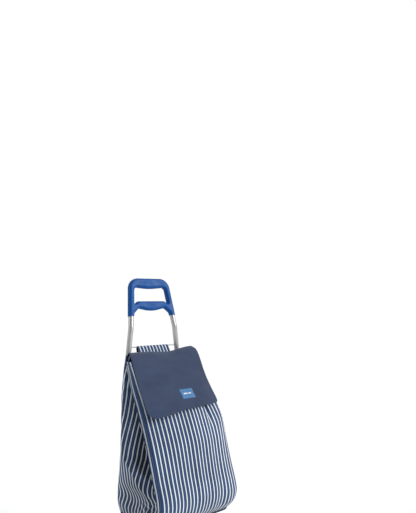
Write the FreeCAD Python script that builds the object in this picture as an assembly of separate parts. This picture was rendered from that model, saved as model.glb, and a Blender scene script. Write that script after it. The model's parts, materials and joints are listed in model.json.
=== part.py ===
import FreeCAD, Part
import math
import os

V = FreeCAD.Vector

# Driving dimensions, mm. +Z up, the bag faces -Y, the uprights stand on the plane Y = Y_FRAME.
Y_FRAME = 96.0

TUBE_R, TUBE_WALL = 9.0, 1.2
UPRIGHT_HALF_GAP = 120.0
UPRIGHT_BOTTOM, STRAIGHT_TOP = 46.0, 400.0
TAPER_RADIUS = 3008.0
BEND_Z, BEND_RADIUS = 795.0, 80.0
LEAN_DEG, HANDLE_TAPER_DEG = 11.0, 7.0
UPRIGHT_TOP_RUN = 118.0

HANDLE_DEPTH, HANDLE_FILLET = 22.0, 9.5
HANDLE_TOP, HANDLE_LEG_END = 174.5, 41.5
SLEEVE_R = 10.8

WIRE_Z, WIRE_R = 738.0, 1.9

BASE_R, BASE_WALL, BASE_Z = 8.0, 1.2, 185.0
BASE_HALF_GAP, BASE_FRONT, BASE_CORNER = 103.0, -105.0, 32.0
STAND_R, STAND_HALF_GAP, STAND_CORNER, STAND_Z = 5.0, 78.0, 22.0, 12.0
BRACE_THICK, BRACE_WIDTH, BRACE_REACH = 3.0, 14.0, 78.0

AXLE_R, AXLE_Z, AXLE_HALF = 5.0, 70.0, 186.0
WHEEL_R, RIM_R, TYRE_HALF_WIDTH = 70.0, 56.0, 15.0
WHEEL_X = 169.0
HUB_IN, HUB_OUT, HUB_R = 151.0, 181.0, 14.0
RUNNING_GAP = 0.05

CLOTH = 1.6
BACK_CORNER = 26.0
BAG_BOTTOM_Z, BAG_TOP_Z = 195.5, 726.0
# height, back edge and front edge measured from the upright plane, half width, corner radius
BAG_SECTIONS = [
    (195.5, -14.0, -228.0, 163.0, 34.0),
    (235.0, -14.0, -255.0, 168.0, 38.0),
    (270.0, -14.0, -261.0, 168.0, 38.0),
    (355.0, -14.0, -238.0, 166.0, 36.0),
    (450.0, -14.0, -206.0, 162.0, 34.0),
    (550.0, -14.0, -160.0, 155.0, 30.0),
    (620.0, -15.0, -120.0, 148.0, 26.0),
    (660.0, -18.0, -98.0, 143.0, 22.0),
    (700.0, -27.0, -72.0, 137.0, 16.0),
    (726.0, -34.0, -55.0, 134.0, 8.0),
]
# side view of the flap, measured from the upright plane
FLAP_PROFILE = [
    (-34.0, 724.0), (-60.0, 715.0), (-88.0, 688.0), (-120.0, 644.0),
    (-152.0, 601.0), (-178.0, 572.0), (-190.0, 550.0),
]
FLAP_HALF = 1.0
LABEL_SIZE, LABEL_X, LABEL_Z = (55.0, 33.0), 19.0, 590.0


def save(name, shape):
    solids = shape.Solids
    out = solids[0] if len(solids) == 1 else Part.makeCompound(solids)
    out.exportStep("parts/" + name + ".step")


def rod(start, end, radius):
    axis = end - start
    return Part.makeCylinder(radius, axis.Length, start, axis)


def sweep(path, radius):
    first = path.Edges[0]
    start = first.valueAt(first.FirstParameter)
    direction = first.tangentAt(first.FirstParameter)
    ring = Part.Wire(Part.makeCircle(radius, start, direction))
    return path.makePipeShell([ring], True, False)


def arc_through_corner(before, corner, after, radius):
    """Tangent arc that rounds a corner: its two ends and its middle."""
    a, b = (before - corner), (after - corner)
    a.normalize()
    b.normalize()
    half = a.getAngle(b) / 2
    middle = a + b
    middle.normalize()
    reach = radius / math.tan(half)
    return corner + a * reach, corner + middle * (radius / math.sin(half) - radius), corner + b * reach


def rounded_path(points, radii, closed=False):
    """Wire through points with each corner rounded; radius 0 keeps it sharp."""
    count = len(points)
    corners = range(count) if closed else range(1, count - 1)
    arcs = {}
    for i in corners:
        if radii[i] > 0:
            arcs[i] = arc_through_corner(points[i - 1], points[i], points[(i + 1) % count], radii[i])
    edges = []
    for i in range(count if closed else count - 1):
        j = (i + 1) % count
        start = arcs[i][2] if i in arcs else points[i]
        end = arcs[j][0] if j in arcs else points[j]
        if (end - start).Length > 1e-4:
            edges.append(Part.makeLine(start, end))
        if j in arcs:
            edges.append(Part.Arc(*arcs[j]).toShape())
    return Part.Wire(edges)


def plate(points, radii, direction):
    return Part.Face(rounded_path(points, radii, closed=True)).extrude(direction)


def revolve_x(profile, centre_y, centre_z):
    """Turn a closed outline of (x, radius) points around the wheel axis."""
    points = [V(x, centre_y, centre_z + r) for x, r in profile]
    face = Part.Face(Part.makePolygon(points + points[:1]))
    return face.revolve(V(0, centre_y, centre_z), V(1, 0, 0), 360)


# ---------------------------------------------------------------- frame
def upright_path(side):
    drop = TAPER_RADIUS - math.sqrt(TAPER_RADIUS**2 - (BEND_Z - STRAIGHT_TOP) ** 2)
    half_drop = TAPER_RADIUS - math.sqrt(TAPER_RADIUS**2 - ((BEND_Z - STRAIGHT_TOP) / 2) ** 2)
    foot = V(side * UPRIGHT_HALF_GAP, Y_FRAME, UPRIGHT_BOTTOM)
    low = V(side * UPRIGHT_HALF_GAP, Y_FRAME, STRAIGHT_TOP)
    middle = V(side * (UPRIGHT_HALF_GAP - half_drop), Y_FRAME, (BEND_Z + STRAIGHT_TOP) / 2)
    bend = V(side * (UPRIGHT_HALF_GAP - drop), Y_FRAME, BEND_Z)
    slope = math.asin((BEND_Z - STRAIGHT_TOP) / TAPER_RADIUS)
    before = V(-side * math.sin(slope), 0, math.cos(slope))
    taper, lean = math.radians(HANDLE_TAPER_DEG), math.radians(LEAN_DEG)
    after = V(-side * math.sin(taper), math.cos(taper) * math.sin(lean), math.cos(taper) * math.cos(lean))
    corner = bend + before * (BEND_RADIUS * math.tan(before.getAngle(after) / 2))
    start, mid, end = arc_through_corner(corner - before, corner, corner + after, BEND_RADIUS)
    return Part.Wire([
        Part.makeLine(foot, low),
        Part.Arc(low, middle, bend).toShape(),
        Part.Arc(bend, mid, end).toShape(),
        Part.makeLine(end, end + after * UPRIGHT_TOP_RUN),
    ])


def upright(side):
    path = upright_path(side)
    tube = sweep(path, TUBE_R).cut(sweep(path, TUBE_R - TUBE_WALL))
    for hole in [axle(), hanging_wire(), base_rivet(side), handle_screw(side)]:
        tube = tube.cut(hole)
    return tube


def upright_plug(side):
    x = side * UPRIGHT_HALF_GAP
    stem = rod(V(x, Y_FRAME, UPRIGHT_BOTTOM), V(x, Y_FRAME, UPRIGHT_BOTTOM + 12), TUBE_R - TUBE_WALL)
    return stem.fuse(rod(V(x, Y_FRAME, UPRIGHT_BOTTOM - 3), V(x, Y_FRAME, UPRIGHT_BOTTOM), TUBE_R)).removeSplitter()


def hanging_wire():
    return rod(V(-104, Y_FRAME, WIRE_Z), V(104, Y_FRAME, WIRE_Z), WIRE_R)


def base_path():
    points = [V(s * BASE_HALF_GAP, y, BASE_Z) for s, y in
              [(1, Y_FRAME + 11), (1, BASE_FRONT), (-1, BASE_FRONT), (-1, Y_FRAME + 11)]]
    return rounded_path(points, [0, BASE_CORNER, BASE_CORNER, 0])


def base_frame():
    frame = sweep(base_path(), BASE_R).cut(sweep(base_path(), BASE_R - BASE_WALL))
    for side in (-1, 1):
        frame = frame.cut(base_rivet(side)).cut(brace_rivet(side))
    return frame


def base_end_plug(side):
    x, y = side * BASE_HALF_GAP, Y_FRAME + 11
    stem = rod(V(x, y - 6, BASE_Z), V(x, y, BASE_Z), BASE_R - BASE_WALL)
    return stem.fuse(rod(V(x, y, BASE_Z), V(x, y + 2, BASE_Z), BASE_R)).removeSplitter()


def rivet(side, start, end, y, z):
    """Shank along X with a low round head outside each end."""
    shank = rod(V(side * start, y, z), V(side * end, y, z), 2.5)
    for x, out in ((start, -1), (end, 1)):
        head = Part.makeCone(5.0, 3.0, 2.2, V(side * x, y, z), V(side * out, 0, 0))
        shank = shank.fuse(head)
    return shank.removeSplitter()


def base_rivet(side):
    return rivet(side, BASE_HALF_GAP - BASE_R, UPRIGHT_HALF_GAP + TUBE_R, Y_FRAME, BASE_Z)


def brace_rivet(side):
    return rivet(side, BASE_HALF_GAP - BASE_R - BRACE_THICK, BASE_HALF_GAP + BASE_R,
                 Y_FRAME - BRACE_REACH, BASE_Z)


def brace(side):
    """Flat strap from the axle up to the base tube."""
    x = side * (BASE_HALF_GAP - BASE_R)
    low, high = V(x, Y_FRAME, AXLE_Z), V(x, Y_FRAME - BRACE_REACH, BASE_Z)
    along = high - low
    along.normalize()
    across = V(0, along.z, -along.y) * (BRACE_WIDTH / 2)
    ends = [low - along * 8, high + along * 8]
    corners = [ends[0] - across, ends[0] + across, ends[1] + across, ends[1] - across]
    strap = plate(corners, [BRACE_WIDTH / 2 - 0.1] * 4, V(-side * BRACE_THICK, 0, 0))
    return strap.cut(axle()).cut(brace_rivet(side))


def front_stand():
    points = [V(s * STAND_HALF_GAP, BASE_FRONT, z) for s, z in
              [(1, BASE_Z), (1, STAND_Z), (-1, STAND_Z), (-1, BASE_Z)]]
    loop = sweep(rounded_path(points, [0, STAND_CORNER, STAND_CORNER, 0]), STAND_R)
    return loop.cut(sweep(base_path(), BASE_R))


def foot(side):
    """Moulded sleeve on the stand's bottom run, flat underneath."""
    x = side * 40
    outline = [V(x, BASE_FRONT + y, z) for y, z in [(-13, 0), (13, 0), (10, 21), (-10, 21)]]
    block = plate(outline, [3, 3, 8, 8], V(side * 14, 0, 0))
    core = rod(V(x - side, BASE_FRONT, STAND_Z), V(x + side * 15, BASE_FRONT, STAND_Z), STAND_R)
    return block.cut(core)


# ---------------------------------------------------------------- handle
def to_handle_plane(shape):
    """The handle is drawn upright, then leaned back about the bend of the tubes."""
    shape.rotate(V(0, 0, 0), V(1, 0, 0), -LEAN_DEG)
    shape.translate(V(0, Y_FRAME, BEND_Z + 8))
    return shape


def tube_line(s, offset=0.0):
    """Sideways place of the tube's axis, or a line beside it, at a height in the handle's plane."""
    return 92.9 - s * math.tan(math.radians(HANDLE_TAPER_DEG)) + offset


def handle_outline():
    end = HANDLE_LEG_END - 15
    half = [(tube_line(HANDLE_TOP, SLEEVE_R), HANDLE_TOP, 40), (tube_line(end, SLEEVE_R), end, 0),
            (tube_line(end, -SLEEVE_R), end, 0), (tube_line(50, -SLEEVE_R), 50, 9), (55.0, 68.0, 12)]
    right = [(V(x, 0, s), r) for x, s, r in half]
    left = [(V(-x, 0, s), r) for x, s, r in reversed(half)]
    full = right + [(V(0, 0, 56.5), 150)] + left
    return Part.Face(rounded_path([p for p, _ in full], [r for _, r in full], closed=True))


def handle_window():
    half = [(0, 136.5, 240), (tube_line(142, -SLEEVE_R), 142.5, 13), (tube_line(80, -SLEEVE_R), 80.0, 3), (57.0, 93.0, 14)]
    points = [(V(x, 0, s), r) for x, s, r in half] + [(V(-x, 0, s), r) for x, s, r in reversed(half[1:])]
    return Part.Face(rounded_path([p for p, _ in points], [r for _, r in points], closed=True))


def handle_grip():
    face = handle_outline().cut(handle_window())
    face.translate(V(0, -HANDLE_DEPTH / 2, 0))
    body = face.extrude(V(0, HANDLE_DEPTH, 0))
    rim = [e for e in body.Edges if abs(abs(e.CenterOfMass.y) - HANDLE_DEPTH / 2) < 0.01]
    rim = [e for e in rim if e.BoundBox.ZMin > HANDLE_LEG_END - 14]
    body = body.makeFillet(HANDLE_FILLET, rim)
    body = body.cut(Part.makeBox(300, 100, 60, V(-150, -50, HANDLE_LEG_END - 60)))
    body = to_handle_plane(body)
    for side in (-1, 1):
        body = body.cut(sweep(upright_path(side), TUBE_R)).cut(handle_screw(side))
    return body


def handle_screw(side):
    """Pan-head screw from behind, through the sleeve and the tube's rear wall."""
    screw = Part.makeCylinder(1.8, 12, V(0, 0, 0), V(0, 1, 0))
    head = Part.makeCone(3.6, 2.6, 2.0, V(0, 12, 0), V(0, 1, 0))
    screw = screw.fuse(head).removeSplitter()
    screw.translate(V(side * tube_line(74), -1.0, 74))
    return to_handle_plane(screw)


# ---------------------------------------------------------------- wheels
def axle():
    return rod(V(-AXLE_HALF, Y_FRAME, AXLE_Z), V(AXLE_HALF, Y_FRAME, AXLE_Z), AXLE_R)


def on_side(side, profile):
    return revolve_x([(side * x, r) for x, r in profile], Y_FRAME, AXLE_Z)


def spacer(side):
    start = UPRIGHT_HALF_GAP + TUBE_R + 0.3
    end = HUB_IN - 0.5
    return on_side(side, [(start, AXLE_R), (end, AXLE_R), (end, 8), (start, 8)])


def retainer(side):
    start = HUB_OUT + 0.5
    return on_side(side, [(start, AXLE_R), (start + 1.5, AXLE_R), (start + 1.5, 8), (start, 8.5)])


def rim(side):
    bore = AXLE_R + RUNNING_GAP
    half = TYRE_HALF_WIDTH - 1
    ring_in = RIM_R - 5
    profile = [
        (HUB_IN, bore), (HUB_OUT, bore), (HUB_OUT, HUB_R), (WHEEL_X + 4, HUB_R + 2), (WHEEL_X + 3, ring_in),
        (WHEEL_X + half, ring_in + 1), (WHEEL_X + half, RIM_R), (WHEEL_X - half, RIM_R),
        (WHEEL_X - half, ring_in + 1), (WHEEL_X - 3, ring_in), (WHEEL_X - 4, HUB_R + 2), (HUB_IN, HUB_R),
    ]
    body = on_side(side, profile)
    for i in range(5):
        angle = math.radians(90 + 72 * i)
        y, z = Y_FRAME + 33.5 * math.cos(angle), AXLE_Z + 33.5 * math.sin(angle)
        body = body.cut(rod(V(side * (WHEEL_X - 20), y, z), V(side * (WHEEL_X + 20), y, z), 11.5))
    return body


def tyre(side):
    w = TYRE_HALF_WIDTH
    half = [(w - 1, RIM_R), (w, RIM_R + 3), (w, WHEEL_R - 6), (w - 1.8, WHEEL_R - 2.2), (w - 6, WHEEL_R - 0.2),
            (5.0, WHEEL_R), (4.2, WHEEL_R - 1.6), (2.8, WHEEL_R - 1.6), (2.0, WHEEL_R)]
    outline = [(WHEEL_X + x, r) for x, r in half] + [(WHEEL_X - x, r) for x, r in reversed(half)]
    return on_side(side, outline)


def hub_cap(side):
    x = HUB_OUT
    return on_side(side, [
        (x, 10.5), (x, 13.6), (x + 6, 12.8), (x + 8.4, 9.5), (x + 9, 4), (x + 9, 0),
        (x + 7.4, 0), (x + 7.4, 4), (x + 6.6, 9), (x + 5, 10.5),
    ])


# ---------------------------------------------------------------- bag
def bag_section(z, back, front, half, radius, inset):
    y_back, y_front = Y_FRAME + back - inset, Y_FRAME + front + inset
    w, r = half - inset, radius - inset
    r_back = min(BACK_CORNER, back - front - radius - 2) - inset
    points = [V(-w, y_front, z), V(w, y_front, z), V(w, y_back, z), V(-w, y_back, z)]
    return rounded_path(points, [r, r, r_back, r_back], closed=True)


def bag_form(inset, overrun=0.0):
    """Solid the shape of the bag, moved inward by inset and taller by overrun at both ends."""
    rows = [list(row) for row in BAG_SECTIONS]
    rows[0][0] -= overrun
    rows[-1][0] += overrun
    return Part.makeLoft([bag_section(*row, inset) for row in rows], True, True)


def mouth_cut():
    """Everything above the slanting mouth, which is lower in front."""
    points = [(-20, 724), (-36, 719), (-72, 700), (-150, 700), (-150, 800), (-20, 800)]
    outline = [V(-200, Y_FRAME + y, z) for y, z in points]
    return plate(outline, [0] * 6, V(400, 0, 0))


def side_zone(side):
    """Everything outboard of one pair of side seams."""
    outline = [V(side * x, -400, z) for x, z in [(154, 150), (127, 800), (300, 800), (300, 150)]]
    return plate(outline, [0] * 4, V(0, 800, 0))


def bag_panels():
    wall = bag_form(0).cut(bag_form(CLOTH, 10)).cut(mouth_cut())
    left, right = side_zone(-1), side_zone(1)
    middle = wall.cut(left).cut(right)
    ahead = Part.makeBox(400, 300, 700, V(-200, Y_FRAME - 40 - 300, 150))
    return {
        "bag_left_side": wall.common(left),
        "bag_right_side": wall.common(right),
        "bag_front": middle.common(ahead),
        "bag_back": middle.cut(ahead),
    }


def flat_panel(z, thick, inset):
    _, back, front, half, radius = BAG_SECTIONS[0]
    return Part.Face(bag_section(z, back, front, half, radius, inset)).extrude(V(0, 0, thick))


def bag_hem():
    """Binding tape round the outside of the bag near its bottom edge."""
    slab = Part.makeBox(400, 400, 9, V(-200, Y_FRAME - 300, 197))
    return bag_form(-1.2).cut(bag_form(0)).common(slab)


def profile_band(points, low, high):
    """Face between two offsets of a side-view curve; positive offsets lie outside the bag."""
    def offset_curve(distance):
        moved = []
        for i, (y, z) in enumerate(points):
            y0, z0 = points[max(i - 1, 0)]
            y1, z1 = points[min(i + 1, len(points) - 1)]
            length = math.hypot(y1 - y0, z1 - z0)
            ny, nz = (z1 - z0) / length, -(y1 - y0) / length
            moved.append(V(0, Y_FRAME + y + ny * distance, z + nz * distance))
        curve = Part.BSplineCurve()
        curve.interpolate(moved)
        return curve.toShape(), moved[0], moved[-1]
    inner, a0, a1 = offset_curve(low)
    outer, b0, b1 = offset_curve(high)
    return Part.Face(Part.Wire([inner, Part.makeLine(a1, b1), outer, Part.makeLine(b0, a0)]))


def flap_band(low, high):
    band = profile_band(FLAP_PROFILE, low, high)
    band.translate(V(-180, 0, 0))
    return band.extrude(V(360, 0, 0))


def flap():
    corners = [(134, 740), (157, 540), (-157, 540), (-134, 740)]
    outline = [V(x, -300, z) for x, z in corners]
    return flap_band(-FLAP_HALF, FLAP_HALF).common(plate(outline, [0, 24, 24, 0], V(0, 600, 0)))


def label_patch():
    half_x, half_z = LABEL_SIZE[0] / 2, LABEL_SIZE[1] / 2 * 0.74
    corners = [(-half_x, -half_z), (half_x, -half_z), (half_x, half_z), (-half_x, half_z)]
    outline = [V(LABEL_X + x, -300, LABEL_Z + z) for x, z in corners]
    return flap_band(FLAP_HALF, FLAP_HALF + 1.0).common(plate(outline, [2] * 4, V(0, 600, 0)))


def belt_face(x, centre_a, radius_a, centre_b, radius_b):
    """Outline of a belt round two pulleys in a plane across X."""
    a, b = V(x, *centre_a), V(x, *centre_b)
    along = b - a
    span = along.Length
    along.normalize()
    across = V(0, -along.z, along.y)
    tilt = (radius_a - radius_b) / span
    lean = math.sqrt(1 - tilt * tilt)
    up, down = along * tilt + across * lean, along * tilt - across * lean
    return Part.Face(Part.Wire([
        Part.makeLine(a + up * radius_a, b + up * radius_b),
        Part.Arc(b + up * radius_b, b + along * radius_b, b + down * radius_b).toShape(),
        Part.makeLine(b + down * radius_b, a + down * radius_a),
        Part.Arc(a + down * radius_a, a - along * radius_a, a + up * radius_a).toShape(),
    ]))


def hanging_loop():
    """Cloth sleeve over the wire, sewn down behind the bag's back panel."""
    wire, seam = (Y_FRAME, WIRE_Z), (Y_FRAME - 25.2, 702)
    outer = belt_face(-69, wire, 3.8, seam, 1.9).extrude(V(134, 0, 0))
    inner = belt_face(-70, wire, 2.7, seam, 0.7).extrude(V(136, 0, 0))
    return outer.cut(inner)


def build():
    os.makedirs("parts", exist_ok=True)
    both = (-1, 1)
    for side, word in ((-1, "left"), (1, "right")):
        save("upright_" + word, upright(side))
        save("brace_" + word, brace(side))
        save("stand_foot_" + word, foot(side))
        save("spacer_" + word, spacer(side))
        save("rim_" + word, rim(side))
        save("tyre_" + word, tyre(side))
        save("hub_cap_" + word, hub_cap(side))
    for name, maker in (("upright_plugs", upright_plug), ("base_end_plugs", base_end_plug),
                        ("base_rivets", base_rivet), ("brace_rivets", brace_rivet),
                        ("handle_screws", handle_screw), ("axle_retainers", retainer)):
        save(name, Part.makeCompound([maker(side) for side in both]))
    for name, panel in bag_panels().items():
        save(name, panel)
    save("bag_bottom", flat_panel(BASE_Z + BASE_R, BAG_BOTTOM_Z - BASE_Z - BASE_R, 0))
    save("bottom_board", flat_panel(BAG_BOTTOM_Z, 3.0, 6.0))
    for maker in (handle_grip, hanging_wire, base_frame, front_stand, axle, bag_hem, flap, label_patch, hanging_loop):
        save(maker.__name__, maker())


build()
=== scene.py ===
import json
import math

import bpy
import numpy as np
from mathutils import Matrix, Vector


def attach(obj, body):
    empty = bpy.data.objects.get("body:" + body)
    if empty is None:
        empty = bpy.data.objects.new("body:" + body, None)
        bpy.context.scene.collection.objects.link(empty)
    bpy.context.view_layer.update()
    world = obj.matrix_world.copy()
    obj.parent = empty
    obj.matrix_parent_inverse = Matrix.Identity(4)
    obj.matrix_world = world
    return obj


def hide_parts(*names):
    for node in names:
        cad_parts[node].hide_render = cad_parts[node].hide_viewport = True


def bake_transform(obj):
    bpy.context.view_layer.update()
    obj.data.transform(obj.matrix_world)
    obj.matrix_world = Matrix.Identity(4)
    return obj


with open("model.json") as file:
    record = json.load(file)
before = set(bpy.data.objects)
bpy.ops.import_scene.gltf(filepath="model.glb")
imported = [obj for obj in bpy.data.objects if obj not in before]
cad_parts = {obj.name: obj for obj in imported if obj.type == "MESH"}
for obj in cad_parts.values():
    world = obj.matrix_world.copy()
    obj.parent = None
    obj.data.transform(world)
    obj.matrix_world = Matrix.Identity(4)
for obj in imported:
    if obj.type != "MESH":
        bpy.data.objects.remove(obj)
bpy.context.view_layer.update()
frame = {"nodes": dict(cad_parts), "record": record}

Y_FRAME = 0.096          # plane of the two uprights
PITCH = 0.0135           # one white stripe to the next
FRONT_HALF = 0.166       # half the cut width of the front panel
BACK_HALF = 0.138        # half the cut width of the back panel
BAG_FOOT = 0.2025        # height of the bound edge round the foot
FRONT_TOP, SIDE_TOP, BACK_TOP = 0.697, 0.716, 0.720     # heights of the panels' top edges


def smooth(knots, values):
    """Monotone cubic through a few given points."""
    k, v = np.array(knots, float), np.array(values, float)
    d = np.diff(v) / np.diff(k)
    m = np.zeros(len(k))
    m[0], m[-1] = d[0], d[-1]
    for i in range(1, len(k) - 1):
        if d[i - 1] * d[i] > 0:
            m[i] = 2 * d[i - 1] * d[i] / (d[i - 1] + d[i])

    def value(x):
        x = np.clip(np.asarray(x, float), k[0], k[-1])
        i = np.clip(np.searchsorted(k, x) - 1, 0, len(k) - 2)
        h = k[i + 1] - k[i]
        t = (x - k[i]) / h
        return (v[i] * (2 * t**3 - 3 * t**2 + 1) + m[i] * h * (t**3 - 2 * t**2 + t)
                + v[i + 1] * (3 * t**2 - 2 * t**3) + m[i + 1] * h * (t**3 - t**2))
    return value


def step(low, high, x):
    t = np.clip((np.asarray(x, float) - low) / (high - low), 0, 1)
    return t * t * (3 - 2 * t)


# the bag's outline by height: back, front, half width, front corner radius, turn of the front by its corners
HEIGHTS = [0.1955, 0.212, 0.235, 0.27, 0.355, 0.45, 0.55, 0.62, 0.66, 0.70, 0.735]
back_y = smooth(HEIGHTS, [-0.014] * 7 + [-0.015, -0.018, -0.027, -0.037])
front_y = smooth(HEIGHTS, [-0.220, -0.238, -0.254, -0.261, -0.238, -0.206, -0.160, -0.120, -0.098, -0.074, -0.054])
half_x = smooth(HEIGHTS, [0.155, 0.161, 0.166, 0.168, 0.166, 0.162, 0.155, 0.148, 0.143, 0.137, 0.134])
corner_r = smooth(HEIGHTS, [0.034, 0.036, 0.038, 0.038, 0.036, 0.034, 0.030, 0.026, 0.022, 0.016, 0.010])
# small departures by height: sides drawn in, front swollen at its right end, front swollen in its middle
side_pull = smooth([0.20, 0.24, 0.30, 0.36, 0.42, 0.50, 0.56, 0.66],
                   [0.004, 0.003, 0.006, 0.010, 0.0115, 0.009, 0.005, 0.001])
right_puff = smooth([0.20, 0.25, 0.30, 0.38, 0.45, 0.50, 0.56, 0.63],
                    [0.006, 0.010, 0.006, 0.007, 0.012, 0.018, 0.013, 0.0])
belly = smooth([0.20, 0.27, 0.33, 0.40, 0.46, 0.53, 0.58, 0.63],
               [0.0, 0.005, 0.007, 0.012, 0.019, 0.020, 0.010, 0.0])
turn = smooth([0.20, 0.27, 0.36, 0.45, 0.58, 0.66, 0.71], [0.05, 0.08, 0.17, 0.25, 0.24, 0.12, 0.04])
GUSSET_CUT = 0.215       # width the side panels' stripes are laid over; the panels themselves are a little wider
PUFF_REACH = 0.11        # how far back from its front seam the right side panel follows the front's puff
SEAM_TAKE = 0.038        # cloth the back seam takes off the stripes' line
FOLD_DEEPEST, FOLD_CARRY = 0.40, 0.030   # the fold's deepest height, and how far it carries the stripes forward
FOOT_TUCK, TUCK_CARRY = 0.27, 0.016      # the same for the tuck over the foot, which carries them back


def stripe_drift(z):
    """How far the side panels' stripes stand off the back seam's line: forward in the fold, back over the tuck."""
    reach = 0.085 if z < FOLD_DEEPEST else 0.115
    fold = FOLD_CARRY * math.exp(-((z - FOLD_DEEPEST) / reach) ** 2)
    return fold - SEAM_TAKE - TUCK_CARRY * math.exp(-((z - FOOT_TUCK) / 0.03) ** 2)


# how wide the side panels are modelled, by height
gusset_span = smooth([0.30, 0.33, 0.40, 0.50], [0.255, 0.252, 0.242, 0.232])

RIDGE_BACK, RIDGE_FRONT = -0.037, -0.182   # the side fold's ridge: up the back, and its foremost place
CREASE_TOP, CREASE_SLOPE = 0.385, 1.6      # below this height it runs forward in a straight crease


def ridge_y(z):
    """The side fold's outer ridge: upright, then a soft knee into a straight crease down to the front."""
    below = CREASE_TOP - z
    return max(RIDGE_BACK - CREASE_SLOPE * (below + math.hypot(below, 0.012)) / 2, RIDGE_FRONT)


# how steeply the cloth turns in from that ridge, in degrees
slant_in = smooth([0.30, 0.33, 0.36, 0.40, 0.45, 0.51, 0.60, 0.68, 0.72], [66, 56, 52, 52, 42, 40, 30, 15, 8])
cave = smooth([0.199, 0.215, 0.25, 0.285, 0.31, 0.33], [0.002, 0.008, 0.015, 0.010, 0.002, 0.0])


# ------------------------------------------------------------------ materials
class Graph:
    """A principled material and short ways to add nodes to it."""

    def __init__(self, name, colour, roughness, **constant):
        self.material = bpy.data.materials.new(name)
        self.material.use_nodes = True
        self.tree = self.material.node_tree
        self.shader = self.tree.nodes["Principled BSDF"]
        self.shader.inputs["Base Color"].default_value = (*colour, 1)
        self.shader.inputs["Roughness"].default_value = roughness
        for key, value in constant.items():
            self.shader.inputs[key.replace("_", " ")].default_value = value

    def add(self, kind, inputs=(), **settings):
        node = self.tree.nodes.new(kind)
        for key, value in settings.items():
            setattr(node, key, value)
        for slot, value in dict(inputs).items():
            self.put(node.inputs[slot], value)
        return node

    def put(self, socket, value):
        if isinstance(value, bpy.types.NodeSocket):
            self.tree.links.new(value, socket)
        else:
            socket.default_value = value

    def math(self, operation, a, b=0.0):
        return self.add("ShaderNodeMath", {0: a, 1: b}, operation=operation).outputs[0]

    def spread(self, value, low, high, to_low=0.0, to_high=1.0):
        return self.add("ShaderNodeMapRange", {0: value, 1: low, 2: high, 3: to_low, 4: to_high},
                        interpolation_type="SMOOTHSTEP").outputs[0]

    def uv(self, layer):
        parts = self.add("ShaderNodeSeparateXYZ", {0: self.add("ShaderNodeUVMap", uv_map=layer).outputs[0]})
        return parts.outputs[0], parts.outputs[1]

    def place(self):
        return self.add("ShaderNodeTexCoord").outputs["Object"]

    def noise(self, scale, detail=3.0, vector=None, stretch=None):
        vector = vector or self.place()
        if stretch:
            vector = self.add("ShaderNodeMapping", {0: vector, 3: stretch}).outputs[0]
        return self.add("ShaderNodeTexNoise", {"Vector": vector, "Scale": scale, "Detail": detail}).outputs[0]

    def mix(self, share, a, b, blend="MIX"):
        node = self.add("ShaderNodeMix", data_type="RGBA", blend_type=blend)
        for slot, value in ((0, share), (6, a), (7, b)):
            self.put(node.inputs[slot], value)
        return node.outputs[2]

    def shade(self, colour, amount):
        """Colour scaled by a grey value."""
        grey = self.add("ShaderNodeCombineColor", {0: amount, 1: amount, 2: amount}).outputs[0]
        return self.mix(1.0, colour, grey, "MULTIPLY")

    def colour(self, socket):
        self.put(self.shader.inputs["Base Color"], socket)

    def rough(self, socket):
        self.put(self.shader.inputs["Roughness"], socket)

    def bump(self, height, distance, strength=1.0, onto=None):
        inputs = {"Height": height, "Distance": distance, "Strength": strength}
        if onto:
            inputs["Normal"] = onto
        out = self.add("ShaderNodeBump", inputs).outputs[0]
        self.put(self.shader.inputs["Normal"], out)
        return out


def weave(g, u, v, thread):
    """Plain weave height: threads cross over and under each other."""
    a = g.math("SINE", g.math("MULTIPLY", u, math.pi / thread))
    b = g.math("SINE", g.math("MULTIPLY", v, math.pi / thread))
    return g.math("MULTIPLY", a, b)


def stitches(g, across, along, inset, spacing=0.0034):
    """A row of stitches at a distance from an edge: 1 on the thread, 0 off it."""
    line = g.spread(g.math("ABSOLUTE", g.math("SUBTRACT", across, inset)), 0.0004, 0.0008, 1.0, 0.0)
    beat = g.math("FRACT", g.math("DIVIDE", along, spacing))
    dash = g.spread(g.math("ABSOLUTE", g.math("SUBTRACT", beat, 0.5)), 0.30, 0.38, 1.0, 0.0)
    return g.math("MULTIPLY", line, dash)


NAVY, DEEP_NAVY, MID_BLUE = (0.030, 0.052, 0.125), (0.011, 0.023, 0.068), (0.046, 0.085, 0.198)
WHITE_YARN = (0.73, 0.80, 0.85)


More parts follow.
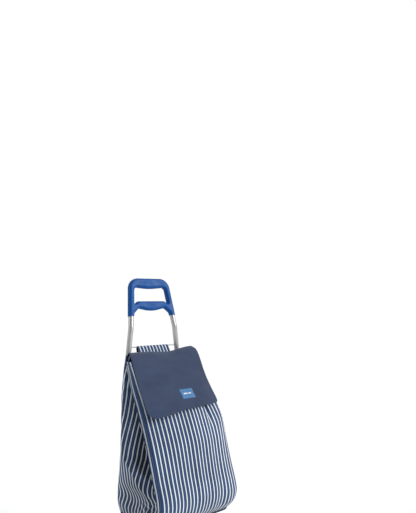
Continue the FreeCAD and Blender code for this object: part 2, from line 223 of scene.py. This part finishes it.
def striped_cloth():
    g = Graph("striped_canvas", NAVY, 0.74, Sheen_Weight=0.12, Sheen_Roughness=0.45, Specular_IOR_Level=0.12)
    u, v = g.uv("cloth")
    side, end = g.uv("edge")
    drift = g.math("MULTIPLY", g.math("SUBTRACT", g.noise(9.0, 2.0), 0.5), 0.0011)
    fray = g.math("MULTIPLY", g.math("SUBTRACT", g.noise(900.0, 1.0), 0.5), 0.0005)
    across = g.math("ADD", u, g.math("ADD", drift, fray))
    beat = g.math("FRACT", g.math("ADD", g.math("DIVIDE", across, PITCH), 40.0))
    from_middle = g.math("MULTIPLY", g.math("ABSOLUTE", g.math("SUBTRACT", beat, 0.5)), PITCH)
    white = g.spread(from_middle, 0.00165, 0.00215, 1.0, 0.0)
    centre = g.spread(from_middle, 0.0036, 0.0052)
    # painted shade: the "fold" layer darkens the navy bands to 0.22 and the white yarn to 0.50 in the side panels'
    # fold, where shadow falls
    fold_shade = g.uv("fold")[0]
    band = g.shade(g.mix(centre, (*DEEP_NAVY, 1), (*MID_BLUE, 1)), g.spread(fold_shade, 0.0, 1.0, 1.0, 0.22))
    cloth = g.mix(white, band, g.shade((*WHITE_YARN, 1), g.spread(fold_shade, 0.0, 1.0, 1.0, 0.50)))
    thread = weave(g, u, v, 0.00085)
    worn = g.spread(g.noise(14.0, 4.0), 0.3, 0.7, 0.90, 1.07)
    flecks = g.spread(g.noise(520.0, 2.0), 0.3, 0.7, 0.93, 1.07)
    lit = g.math("MULTIPLY", g.math("MULTIPLY", worn, flecks), g.spread(thread, -1.0, 1.0, 0.93, 1.05))
    sewn = g.math("MAXIMUM", stitches(g, side, v, 0.005), stitches(g, end, u, 0.014))
    g.colour(g.mix(g.math("MULTIPLY", sewn, 0.75), g.shade(cloth, lit), (0.03, 0.045, 0.10, 1)))
    g.rough(g.spread(g.noise(60.0, 3.0), 0.2, 0.8, 0.66, 0.80))
    first = g.bump(thread, 0.00016, 0.8)
    second = g.bump(g.noise(70.0, 4.0), 0.0009, 0.35, first)
    g.bump(sewn, 0.0006, 0.9, second)
    return g.material


def plain_cloth(name, colour, tint, thread=0.0011):
    """Plain heavy cloth with a fine twill, an edge hem and its row of stitches."""
    g = Graph(name, colour, 0.82, Sheen_Weight=0.35, Sheen_Roughness=0.4, Specular_IOR_Level=0.25)
    u, v = g.uv("cloth")
    side, end = g.uv("edge")
    rib = g.math("SINE", g.math("MULTIPLY", g.math("ADD", u, v), 2 * math.pi / (thread * 1.6)))
    height = g.math("ADD", g.math("MULTIPLY", weave(g, u, v, thread), 0.6), g.math("MULTIPLY", rib, 0.4))
    near = g.math("MINIMUM", side, end)
    sewn = g.math("MAXIMUM", stitches(g, side, v, 0.007), stitches(g, end, u, 0.007))
    hem = g.spread(near, 0.0088, 0.0105, 1.0, 0.0)
    worn = g.spread(g.noise(11.0, 4.0), 0.3, 0.7, 0.90, 1.10)
    flecks = g.spread(g.noise(650.0, 2.0), 0.25, 0.75, 0.90, 1.10)
    rub = g.spread(near, 0.0, 0.003, 1.22, 1.0)
    lit = g.math("MULTIPLY", g.math("MULTIPLY", worn, flecks), rub)
    g.colour(g.mix(g.math("MULTIPLY", sewn, 0.6), g.shade((*colour, 1), lit), (*tint, 1)))
    g.rough(g.spread(g.noise(45.0, 3.0), 0.2, 0.8, 0.74, 0.90))
    first = g.bump(height, 0.00014, 0.7)
    second = g.bump(g.noise(55.0, 4.0), 0.0010, 0.30, first)
    g.bump(g.math("SUBTRACT", g.math("MULTIPLY", hem, 0.5), g.math("MULTIPLY", sewn, 0.5)), 0.0007, 0.8, second)
    return g.material


def moulded_plastic(name, colour, roughness, grain=900.0):
    """Moulded plastic with a spark-eroded grain, slow colour drift and duller worn places."""
    g = Graph(name, colour, roughness, Specular_IOR_Level=0.21)
    drift = g.spread(g.noise(18.0, 3.0), 0.3, 0.7, 0.93, 1.07)
    g.colour(g.shade((*colour, 1), drift))
    g.rough(g.spread(g.noise(35.0, 4.0), 0.25, 0.75, roughness - 0.06, roughness + 0.10))
    first = g.bump(g.noise(grain, 2.0), 0.00012, 0.5)
    g.bump(g.noise(40.0, 2.0), 0.0006, 0.25, first)
    return g.material


def silver_paint():
    g = Graph("silver_paint", (0.55, 0.55, 0.57), 0.36, Metallic=0.55, Coat_Weight=0.25, Coat_Roughness=0.25)
    flake = g.spread(g.noise(2600.0, 1.0), 0.3, 0.7, 0.92, 1.08)
    drift = g.spread(g.noise(9.0, 3.0, stretch=(1, 1, 0.15)), 0.3, 0.7, 0.94, 1.05)
    g.colour(g.shade((0.50, 0.50, 0.505, 1), g.math("MULTIPLY", flake, drift)))
    g.rough(g.spread(g.noise(25.0, 4.0), 0.3, 0.7, 0.30, 0.44))
    g.bump(g.noise(300.0, 2.0), 0.00008, 0.4)
    return g.material


def zinc_steel():
    g = Graph("zinc_steel", (0.5, 0.5, 0.51), 0.32, Metallic=1.0)
    grain = g.noise(160.0, 3.0, stretch=(0.05, 1, 1))
    g.colour(g.shade((0.26, 0.26, 0.27, 1), g.spread(grain, 0.3, 0.7, 0.86, 1.08)))
    g.rough(g.spread(grain, 0.3, 0.7, 0.24, 0.42))
    g.bump(grain, 0.00006, 0.5)
    return g.material


def tyre_rubber():
    g = Graph("tyre_rubber", (0.028, 0.028, 0.031), 0.78, Specular_IOR_Level=0.35)
    dust = g.spread(g.noise(30.0, 5.0), 0.35, 0.75, 0.8, 1.9)
    g.colour(g.shade((0.028, 0.028, 0.031, 1), dust))
    g.rough(g.spread(g.noise(90.0, 3.0), 0.3, 0.7, 0.68, 0.88))
    g.bump(g.noise(700.0, 3.0), 0.0003, 0.6)
    return g.material


def woven_label(name, colour):
    g = Graph(name, colour, 0.62, Sheen_Weight=0.3, Specular_IOR_Level=0.35)
    u, v = g.uv("cloth")
    thread = weave(g, u, v, 0.00045)
    g.colour(g.shade((*colour, 1), g.math("MULTIPLY", g.spread(thread, -1.0, 1.0, 0.9, 1.08),
                                          g.spread(g.noise(80.0, 3.0), 0.3, 0.7, 0.93, 1.07))))
    g.rough(g.spread(g.noise(120.0, 2.0), 0.3, 0.7, 0.55, 0.70))
    g.bump(thread, 0.0001, 0.7)
    return g.material


STRIPED = striped_cloth()
FLAP_CLOTH = plain_cloth("navy_twill", (0.030, 0.047, 0.098), (0.018, 0.028, 0.06))
BINDING = plain_cloth("navy_binding", (0.014, 0.021, 0.048), (0.01, 0.015, 0.03), 0.0007)
LABEL_BLUE = woven_label("label_blue", (0.040, 0.165, 0.37))
LABEL_WHITE = woven_label("label_white", (0.72, 0.76, 0.80))
BLUE_PLASTIC = moulded_plastic("blue_moulding", (0.001, 0.068, 0.270), 0.46)
DARK_PLASTIC = moulded_plastic("dark_moulding", (0.022, 0.028, 0.048), 0.50)
BOARD = moulded_plastic("board", (0.05, 0.05, 0.055), 0.6, 400.0)
SILVER, ZINC, RUBBER = silver_paint(), zinc_steel(), tyre_rubber()

BY_SLOT = {"blue_plastic": BLUE_PLASTIC, "dark_plastic": DARK_PLASTIC, "silver_tube": SILVER, "zinc_steel": ZINC,
           "black_rubber": RUBBER, "board_plastic": BOARD, "striped_cloth": STRIPED, "navy_cloth": FLAP_CLOTH,
           "label_cloth": LABEL_BLUE}
for part in frame["record"]["subparts"]:
    mesh = frame["nodes"][part["node"]].data
    mesh.materials.clear()
    mesh.materials.append(BY_SLOT[part["material_slot"]])


# ------------------------------------------------------------------ mesh helpers
def grid_piece(name, points, cloth_uv, edge_uv, material, thickness=0.0012, wrap=False, fold=None):
    """A smooth sheet from a (rows, columns, 3) array of points in the uprights' frame."""
    rows, columns = points.shape[:2]
    flat = points.reshape(-1, 3) + np.array([0, Y_FRAME, 0])
    faces = []
    for i in range(rows - 1):
        for j in range(columns if wrap else columns - 1):
            k = (j + 1) % columns
            faces.append((i * columns + j, i * columns + k, (i + 1) * columns + k, (i + 1) * columns + j))
    mesh = bpy.data.meshes.new(name)
    mesh.from_pydata(flat.tolist(), [], faces)
    index = np.zeros(len(mesh.loops), np.int32)
    mesh.loops.foreach_get("vertex_index", index)
    # painted shade: fold is how far the striped cloth is darkened at each point for the fold's shadow, carried in
    # the "fold" UV layer
    fold_shade_uv = np.zeros((rows, columns, 2)) if fold is None else np.stack([fold, fold], axis=2)
    for layer, values in (("cloth", cloth_uv), ("edge", edge_uv), ("fold", fold_shade_uv)):
        mesh.uv_layers.new(name=layer).data.foreach_set(
            "uv", values.reshape(-1, 2)[index].astype(np.float32).ravel())
    mesh.polygons.foreach_set("use_smooth", [True] * len(mesh.polygons))
    mesh.materials.append(material)
    piece = bpy.data.objects.new(name, mesh)
    bpy.context.scene.collection.objects.link(piece)
    if thickness:
        thick = piece.modifiers.new("cloth", "SOLIDIFY")
        thick.thickness, thick.offset = thickness, 0
    return piece


def normals(points):
    across, along = np.gradient(points, axis=1), np.gradient(points, axis=0)
    n = np.cross(across, along)
    return n / np.maximum(np.linalg.norm(n, axis=2, keepdims=True), 1e-12)


def ripples(a, b, seed, waves, reach):
    """Soft irregular relief from a few seeded plane waves; waves is (low, high) wavelength in metres."""
    rng = np.random.RandomState(seed)
    out = np.zeros_like(a)
    for _ in range(9):
        angle = rng.normal(0, reach)
        length = rng.uniform(*waves)
        out += np.sin(2 * math.pi * (a * math.cos(angle) + b * math.sin(angle)) / length + rng.uniform(0, 6.28))
    return out / 4.0


def mirrored(points):
    return points[:, ::-1] * np.array([-1, 1, 1])


# ------------------------------------------------------------------ bag panels
def front_line(s, z):
    """Where a point s along the front's cut width lies at height z: flat middle, round corner, side."""
    r, w, bow = float(corner_r(z)), float(half_x(z)), float(turn(z))
    flat = (w - r * (1 - math.sin(bow))) / (1 - bow**2 / 6)
    a = np.linspace(0, 0.30, 601)
    angle = np.where(a < flat, bow * a / flat, np.minimum(bow + (a - flat) / r, math.pi / 2))
    gap = a[1] - a[0]
    x = np.concatenate([[0], np.cumsum((np.cos(angle[1:]) + np.cos(angle[:-1])) / 2 * gap)])
    y = np.concatenate([[0], np.cumsum((np.sin(angle[1:]) + np.sin(angle[:-1])) / 2 * gap)])
    ahead = flat * bow / 2 + r * math.cos(bow) - r
    start = float(front_y(z)) - ahead * 0.62
    return np.interp(np.abs(s), a, x) * np.sign(s), start + np.interp(np.abs(s), a, y)


def ridge_lift(x):
    """The top edge sags in the middle and stands higher at its right end."""
    return 0.009 * step(0.03, 0.14, x) - 0.005 * np.exp(-((x - 0.025) / 0.05) ** 2)


def build_front():
    s = np.linspace(-FRONT_HALF, FRONT_HALF, 201)
    t = np.linspace(0, 1, 181)
    points = np.zeros((len(t), len(s), 3))
    for i, share in enumerate(t):
        z = BAG_FOOT + (FRONT_TOP - BAG_FOOT) * share
        x, y = front_line(s, z)
        points[i] = np.stack([x, y, z + ridge_lift(x) * float(step(0.60, 0.70, z))], axis=1)
    S, Z = np.meshgrid(s, BAG_FOOT + (FRONT_TOP - BAG_FOOT) * t)
    points[..., 0] += right_puff(Z) * step(0.075, 0.145, S)
    points[..., 1] -= belly(Z) * step(-0.15, 0.085, S) * step(0.168, 0.085, S)
    quiet = step(0, 0.02, FRONT_HALF - np.abs(S)) * step(0.20, 0.23, Z)
    folds = ripples(S, Z * 0.35, 3, (0.05, 0.12), 0.35) * 0.0014 * quiet
    dart = step(0.475, 0.55, Z) * np.exp(-((S - 0.083) / 0.0055) ** 2)
    points -= normals(points) * (dart * 0.010 - folds * 1.0)[..., None] * np.array([1, 1, 0.3])
    shift = 0.010 * step(0.47, 0.56, Z) * step(0.070, 0.092, S) * step(0.15, 0.11, S)
    shift += 0.0053 * step(-0.147, -0.151, S) - 0.0053 * step(0.147, 0.151, S)
    cloth = np.stack([S + shift, Z], axis=2)
    edge = np.stack([FRONT_HALF - np.abs(S), FRONT_TOP - Z], axis=2)
    return grid_piece("front_panel_cloth", points, cloth, edge, STRIPED)


def rounded(path, times=4):
    """Corner-cut an open line of points, keeping its ends."""
    for _ in range(times):
        cut = np.empty((2 * len(path) - 2, path.shape[1]))
        cut[0::2], cut[1::2] = path[:-1] * 0.75 + path[1:] * 0.25, path[:-1] * 0.25 + path[1:] * 0.75
        path = np.vstack([path[:1], cut[1:-1], path[-1:]])
    return path


def lengths(path):
    return np.concatenate([[0], np.cumsum(np.linalg.norm(np.diff(path, axis=0), axis=1))])


def toward(a, b, distance):
    span = np.linalg.norm(b - a)
    return a + (b - a) * min(distance / max(span, 1e-6), 0.45)


def gusset_line(z, count):
    """Left side panel at one height: back seam, round the corner, in at the ridge, out to the front seam."""
    w, rear = float(half_x(z)), float(back_y(z))
    fx, fy = front_line(np.array([-FRONT_HALF]), z)
    seam = np.array([fx[0], fy[0]])
    out = -(w - float(side_pull(z)))
    start = np.array([-BACK_HALF * min(1, w / 0.150), rear])
    room = rear - seam[1]
    near = min(0.024, 0.45 * room)
    ridge = np.array([out, max(min(ridge_y(z), rear - near), seam[1] + 0.2 * room)])
    bend = np.array([out + 0.011, rear - 0.001])
    side = np.array([out, rear - near * 0.55])
    used = lengths(np.array([start, bend, side, ridge]))[-1]
    left, gap = float(gusset_span(z)) - used, seam - ridge
    down = math.radians(float(slant_in(z)))
    way = np.array([math.cos(down), -math.sin(down)])
    spare = left * left - gap @ gap
    reach = spare / (2 * (left - way @ gap)) if spare > 0 else 0
    if reach < 0.03:
        crease = ridge + gap * 0.5 + np.array([0.001, 0])
    else:
        crease = ridge + reach * way
    path = np.array([start, bend, side, toward(ridge, side, 0.007), ridge, toward(ridge, crease, 0.007),
                     toward(crease, ridge, 0.006), crease, toward(crease, seam, 0.006), seam])
    path = rounded(path)
    length = lengths(path)
    want = np.linspace(0, length[-1], count)
    return np.stack([np.interp(want, length, path[:, 0]), np.interp(want, length, path[:, 1])], axis=1), want


def build_gusset(side):
    columns, t = 141, np.linspace(0, 1, 181)
    points, cloth, edge = (np.zeros((len(t), columns, n)) for n in (3, 2, 2))
    for i, share in enumerate(t):
        z = BAG_FOOT + (0.712 - BAG_FOOT) * share
        line, along = gusset_line(z, columns)
        u = along / along[-1]
        along = u * GUSSET_CUT
        top = SIDE_TOP * (1 - u) + FRONT_TOP * u
        high = BAG_FOOT + (top - BAG_FOOT) * share
        points[i] = np.stack([line[:, 0], line[:, 1], high], axis=1)
        cloth[i] = np.stack([along + stripe_drift(z) + 0.5 * PITCH, high], axis=1)
        edge[i] = np.stack([np.minimum(along, along[-1] - along), top - high], axis=1)
    U, Z = np.tile(np.linspace(0, GUSSET_CUT, columns), (len(t), 1)), cloth[..., 1]
    seamless = step(0, 0.03, edge[..., 0]) * step(0.20, 0.23, Z)
    sunk = cave(Z) * step(0.02, 0.09, U) * step(0.0, 0.05, edge[..., 0])
    points[..., 0] += sunk
    tuck = np.exp(-((points[..., 1] + 0.175 + (Z - 0.25) * 0.8) / 0.035) ** 2 - ((Z - 0.252) / 0.022) ** 2)
    puckers = np.sin(2 * math.pi * (Z + 0.5 * U) / 0.040) * step(0.53, 0.62, Z) * step(0.01, 0.03, U)
    off = ripples(U * 0.6, Z, 11, (0.04, 0.10), 0.8) * 0.0012 + puckers * 0.0018
    off += tuck * (0.0030 * np.sin(2 * math.pi * (Z * 0.8 + points[..., 1] * 0.6) / 0.014) + 0.002)
    points += normals(points) * (off * seamless)[..., None]
    # painted shade: darkens the cloth turned in from the side fold's outer ridge between about 0.33 and 0.67 m, and
    # at half strength the panel below about 0.34 m, where the fold's shadow falls
    outermost = points[..., 0].min(axis=1, keepdims=True)
    painted_shade_span = step(0.03, 0.10, U) * step(0.30, 0.36, Z) * step(0.71, 0.64, Z)
    fold = step(0.006, 0.034, points[..., 0] - outermost) * painted_shade_span
    fold = np.maximum(fold, 0.5 * step(0.02, 0.08, U) * step(0.38, 0.30, Z))
    if side > 0:
        points[..., 0] -= right_puff(Z) * step(GUSSET_CUT - PUFF_REACH, GUSSET_CUT, U)
    points[..., 2] += ridge_lift(points[..., 0] * -side) * step(0.60, 0.70, Z)
    if side > 0:
        points, cloth, edge, fold = mirrored(points), cloth[:, ::-1], edge[:, ::-1], fold[:, ::-1]
    return grid_piece("left_gusset_cloth" if side < 0 else "right_gusset_cloth", points, cloth, edge, STRIPED,
                      fold=fold)


def build_back():
    t = np.linspace(0, 1, 121)
    x = np.linspace(-1, 1, 101)
    points = np.zeros((len(t), len(x), 3))
    for i, share in enumerate(t):
        z = BAG_FOOT + (BACK_TOP - BAG_FOOT) * share
        half = BACK_HALF * min(1, float(half_x(z)) / 0.150)
        lift = ridge_lift(x * half) * step(0.60, 0.70, z)
        points[i] = np.stack([x * half, np.full_like(x, float(back_y(z))), z + lift], axis=1)
    X, Z = points[..., 0].copy(), points[..., 2].copy()
    points[..., 1] += ripples(X, Z * 0.4, 21, (0.06, 0.15), 0.4) * 0.0010 * (1 - np.abs(x)[None, :] ** 4)
    cloth = np.stack([X[:, ::-1], Z], axis=2)
    edge = np.stack([BACK_HALF - np.abs(X), 0.722 - Z], axis=2)
    return grid_piece("back_panel_cloth", points[:, ::-1], cloth, edge[:, ::-1], STRIPED)


def foot_outline():
    """Closed line round the bag's foot, through all four seams."""
    s = np.linspace(-FRONT_HALF, FRONT_HALF, 161)
    x, y = front_line(s, BAG_FOOT)
    x += float(right_puff(BAG_FOOT)) * step(0.075, 0.145, s)
    left, along = gusset_line(BAG_FOOT, 90)
    right = left * np.array([-1, 1])
    share = along / along[-1] * GUSSET_CUT
    right[:, 0] += float(right_puff(BAG_FOOT)) * step(GUSSET_CUT - PUFF_REACH, GUSSET_CUT, share)
    back = np.stack([np.linspace(right[0, 0], left[0, 0], 60), np.full(60, left[0, 1])], axis=1)
    return np.vstack([np.stack([x, y], axis=1), right[::-1][1:], back[1:], left[1:-1]])


def build_bottom(outline):
    shares = np.concatenate([np.linspace(1, 0.965, 8), np.linspace(0.94, 0.01, 26)])
    middle = np.array([0.0, -0.13])
    points = np.zeros((len(shares), len(outline), 3))
    for i, share in enumerate(shares):
        flat = middle + (outline - middle) * share
        points[i, :, :2] = flat
        points[i, :, 2] = BAG_FOOT - 0.0080 * step(1.0, 0.975, share)
    edge = np.stack([(1 - np.repeat(shares[:, None], len(outline), 1)) * 0.12 + 0.02,
                     np.full(points.shape[:2], 0.05)], axis=2)
    points = points[:, ::-1]
    return grid_piece("bottom_panel_cloth", points, points[..., :2] + 0.5, edge, BINDING, 0.0012, wrap=True)


def tube_piece(name, line, radius, material, sides=14, squeeze=1.0):
    """A closed ring of cord along a closed line of (x, y, z) points."""
    ahead = np.roll(line, -1, axis=0) - np.roll(line, 1, axis=0)
    ahead /= np.linalg.norm(ahead, axis=1, keepdims=True)
    up = np.array([0, 0, 1.0])
    out = np.cross(ahead, up)
    out /= np.linalg.norm(out, axis=1, keepdims=True)
    turn_by = np.linspace(0, 2 * math.pi, sides + 1)
    points = np.zeros((sides + 1, len(line), 3))
    for i, angle in enumerate(turn_by):
        points[i] = line + out * radius * math.cos(angle) + up * radius * squeeze * math.sin(angle)
    length = lengths(line)
    around = np.repeat((turn_by * radius)[:, None], len(line), 1)
    cloth = np.stack([np.repeat(length[None, :], sides + 1, 0), around], axis=2)
    return grid_piece(name, points, cloth, cloth * 0 + 0.05, material, 0, wrap=True)


front = build_front()
left_side, right_side = build_gusset(-1), build_gusset(1)
back = build_back()
outline = foot_outline()
bottom = build_bottom(outline)
ring = np.column_stack([outline, np.full(len(outline), BAG_FOOT + 0.0015)])
piping = tube_piece("hem_piping", ring, 0.0021, BINDING, squeeze=1.15)


# ------------------------------------------------------------------ flap
FLAP_SIDE = [(-0.0262, 0.700), (-0.0315, 0.7175), (-0.0385, 0.7250), (-0.047, 0.7215), (-0.060, 0.7150),
             (-0.088, 0.688), (-0.120, 0.644), (-0.152, 0.601), (-0.178, 0.5715), (-0.192, 0.5475), (-0.203, 0.524)]


def flap_profile():
    """The flap's side view, and each point's distance along it."""
    path = rounded(np.array(FLAP_SIDE), 3)
    return path, lengths(path)


PROFILE, PROFILE_AT = flap_profile()
RIDGE_AT = float(PROFILE_AT[np.argmax(PROFILE[:, 1])])
flap_left = smooth([0.0, 0.03, 0.08, 0.14, 0.20, 0.25], [-0.128, -0.135, -0.144, -0.152, -0.157, -0.157])
flap_right = smooth([0.0, 0.025, 0.07, 0.14, 0.20, 0.25], [0.136, 0.143, 0.139, 0.134, 0.134, 0.138])
flap_foot = smooth([-0.16, -0.08, -0.015, 0.05, 0.14], [0.2580, 0.2530, 0.2440, 0.2410, 0.2345])


def flap_point(x, along, lift=0.0):
    """Place on the flap's outer face for a sideways position and a distance down from the ridge."""
    s = along + RIDGE_AT
    y, z = (np.interp(s, PROFILE_AT, PROFILE[:, n]) for n in (0, 1))
    dy, dz = (np.interp(s + 0.002, PROFILE_AT, PROFILE[:, n]) - start for n, start in ((0, y), (1, z)))
    size = np.maximum(np.hypot(dy, dz), 1e-9)
    ny, nz = dz / size, -dy / size
    crown = 0.007 * step(0.02, 0.16, along) * (1 - (x / 0.155) ** 2)
    corner = -0.004 * step(0.09, 0.16, x) * step(0.03, 0.14, along)
    soft = ripples(x, along * 0.6, 31, (0.09, 0.2), 0.6) * 0.0009 * step(0.01, 0.05, along)
    off = crown + soft + corner + lift
    high = ridge_lift(x) * step(0.10, 0.02, along)
    return np.stack([x, y + ny * off, z + nz * off + high], axis=-1)


def round_corner(a, b, width, length, radius_left, radius_right):
    """Pull the two lower corners of a flat (across, down) grid onto quarter circles."""
    for r, from_left in ((radius_left, True), (radius_right, False)):
        p = (r - a if from_left else a - (width - r)) / r
        q = (b - (length - r)) / r
        inside = (p > 0) & (q > 0)
        pc, qc = np.clip(p, 0, 1), np.clip(q, 0, 1)
        p2, q2 = pc * np.sqrt(1 - qc**2 / 2), qc * np.sqrt(1 - pc**2 / 2)
        a = np.where(inside, r - p2 * r if from_left else width - r + p2 * r, a)
        b = np.where(inside, length - r + q2 * r, b)
    return a, b


def build_flap():
    p, q = np.meshgrid(np.linspace(0, 1, 181), np.linspace(0, 1, 161))
    a, b = round_corner(p * 0.30, q * 0.245, 0.30, 0.245, 0.030, 0.012)
    p, q = a / 0.30, b / 0.245
    rear = -0.022
    x = flap_left(q * 0.245) * (1 - p) + flap_right(q * 0.245) * p
    down = rear + (flap_foot(x) - rear) * q - 0.004
    x = flap_left(np.maximum(down, 0)) * (1 - p) + flap_right(np.maximum(down, 0)) * p
    points = flap_point(x, down)
    cloth = np.stack([x, down], axis=2)
    side = np.minimum(p, 1 - p) * 0.29
    edge = np.stack([side, (1 - q) * 0.26], axis=2)
    return grid_piece("flap_cloth", points, cloth, edge, FLAP_CLOTH, 0.0020)


def flap_patch(name, left, right, upper, lower, lift, material, thickness, skew=0.0):
    """A small cloth patch that lies on the flap."""
    p, q = np.meshgrid(np.linspace(0, 1, 41), np.linspace(0, 1, 31))
    p, q = round_corner(p * (right - left), q * (lower - upper), right - left, lower - upper, 0.0012, 0.0012)
    x, down = left + p + skew * q, upper + q
    points = flap_point(x, down, lift)
    cloth = np.stack([x, down], axis=2)
    return grid_piece(name, points, cloth, cloth * 0 + 0.05, material, thickness)


flap = build_flap()
label = flap_patch("label_patch_cloth", -0.011, 0.041, 0.170, 0.205, 0.0017, LABEL_BLUE, 0.0008)
marks = []
for n, (x0, x1) in enumerate(((-0.0010, 0.0125), (0.0150, 0.0190), (0.0210, 0.0300))):
    marks.append(flap_patch(f"label_mark_{n + 1}", x0, x1, 0.1855, 0.1897, 0.0024, LABEL_WHITE, 0.0005))


# ------------------------------------------------------------------ hanging loop
LOOP_LEFT, LOOP_RIGHT = -0.069, 0.060    # the sleeve's two open ends along the wire


def build_loop():
    """Cloth sleeve round the wire, open at both ends, sewn down behind the bag."""
    wire = 0.738
    path = np.array([(-0.0262, 0.699), (-0.0235, 0.706), (-0.0185, 0.717), (-0.0115, 0.728), (-0.0045, 0.7385),
                     (0.0, 0.7412), (0.0035, 0.7385), (0.0040, 0.730), (0.0020, 0.721), (-0.006, 0.712),
                     (-0.0165, 0.704), (-0.0240, 0.698)])
    path = rounded(path, 3)
    length = lengths(path)
    x = np.linspace(LOOP_LEFT, LOOP_RIGHT, 91)
    X, L = np.meshgrid(x, length)
    points = np.stack([X, np.repeat(path[:, :1], len(x), 1), np.repeat(path[:, 1:], len(x), 1)], axis=2)
    slack = np.clip((wire + 0.001 - points[..., 2]) / 0.04, 0, 1)
    points[..., 1] += ripples(X, L, 41, (0.02, 0.05), 0.2) * 0.0009 * slack
    cloth = np.stack([X, L], axis=2)
    edge = np.stack([0.0645 - np.abs(X + 0.0045), np.full_like(X, 0.05)], axis=2)
    return grid_piece("hanging_loop_cloth", points, cloth, edge, STRIPED, 0.0011)


loop = build_loop()


# ------------------------------------------------------------------ what rides on what
for piece, nodes, slot in ((front, ["bag_front"], "striped_cloth"), (back, ["bag_back"], "striped_cloth"),
                           (left_side, ["bag_left_side"], "striped_cloth"),
                           (right_side, ["bag_right_side"], "striped_cloth"),
                           (bottom, ["bag_bottom"], "navy_cloth"), (piping, ["bag_hem"], "navy_cloth"),
                           (loop, ["hanging_loop"], "striped_cloth")):
    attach(piece, "frame")
    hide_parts(*nodes)
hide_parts("flap")
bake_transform(flap)
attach(label, "flap")
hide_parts("label_patch")
for mark in marks:
    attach(mark, "flap")


# ------------------------------------------------------------------ stage, light and camera
def floor():
    mesh = bpy.data.meshes.new("floor")
    mesh.from_pydata([(-14, -14, 0), (14, -14, 0), (14, 14, 0), (-14, 14, 0)], [], [(0, 1, 2, 3)])
    piece = bpy.data.objects.new("floor", mesh)
    bpy.context.scene.collection.objects.link(piece)
    g = Graph("floor", (0.95, 0.95, 0.95), 0.9, Specular_IOR_Level=0.0)
    g.colour(g.shade((0.95, 0.95, 0.95, 1), g.spread(g.noise(2.0), 0.3, 0.7, 0.99, 1.01)))
    mesh.materials.append(g.material)


def sun(name, toward, soft, strength):
    """A soft distant lamp; toward is the direction its light travels."""
    light = bpy.data.lights.new(name, "SUN")
    light.energy, light.angle = strength, math.radians(soft)
    lamp = bpy.data.objects.new(name, light)
    lamp.rotation_mode = "QUATERNION"
    lamp.rotation_quaternion = Vector(toward).to_track_quat("-Z", "Y")
    lamp.location = -2 * Vector(toward)
    bpy.context.scene.collection.objects.link(lamp)


floor()
sun("key", (-0.58, 0.70, -0.48), 35, 2.95)
sun("side", (0.80, -0.45, -0.42), 30, 0.9)
sun("top", (-0.1, -0.15, -1.0), 60, 1.2)

world = bpy.data.worlds.new("studio")
bpy.context.scene.world = world
world.use_nodes = True
tree = world.node_tree
ambient, paper = tree.nodes["Background"], tree.nodes.new("ShaderNodeBackground")
ambient.inputs["Color"].default_value, ambient.inputs["Strength"].default_value = (0.95, 0.98, 1.0, 1), 0.15
paper.inputs["Color"].default_value, paper.inputs["Strength"].default_value = (1, 1, 1, 1), 1.0
swap = tree.nodes.new("ShaderNodeMixShader")
tree.links.new(tree.nodes.new("ShaderNodeLightPath").outputs["Is Camera Ray"], swap.inputs[0])
tree.links.new(ambient.outputs[0], swap.inputs[1])
tree.links.new(paper.outputs[0], swap.inputs[2])
tree.links.new(swap.outputs[0], tree.nodes["World Output"].inputs["Surface"])
bpy.context.scene.view_settings.view_transform = "Standard"

LOOK = math.radians(41.0)
camera = bpy.data.objects.new("camera", bpy.data.cameras.new("camera"))
camera.data.lens = 39.5
camera.data.sensor_width = 36.0
camera.data.shift_y = 0.079
camera.location = (-1.1512, -1.6162 + Y_FRAME, 0.9096)
camera.rotation_euler = (math.pi / 2, 0, -LOOK)
bpy.context.scene.collection.objects.link(camera)
bpy.context.scene.camera = camera

bpy.context.view_layer.update()
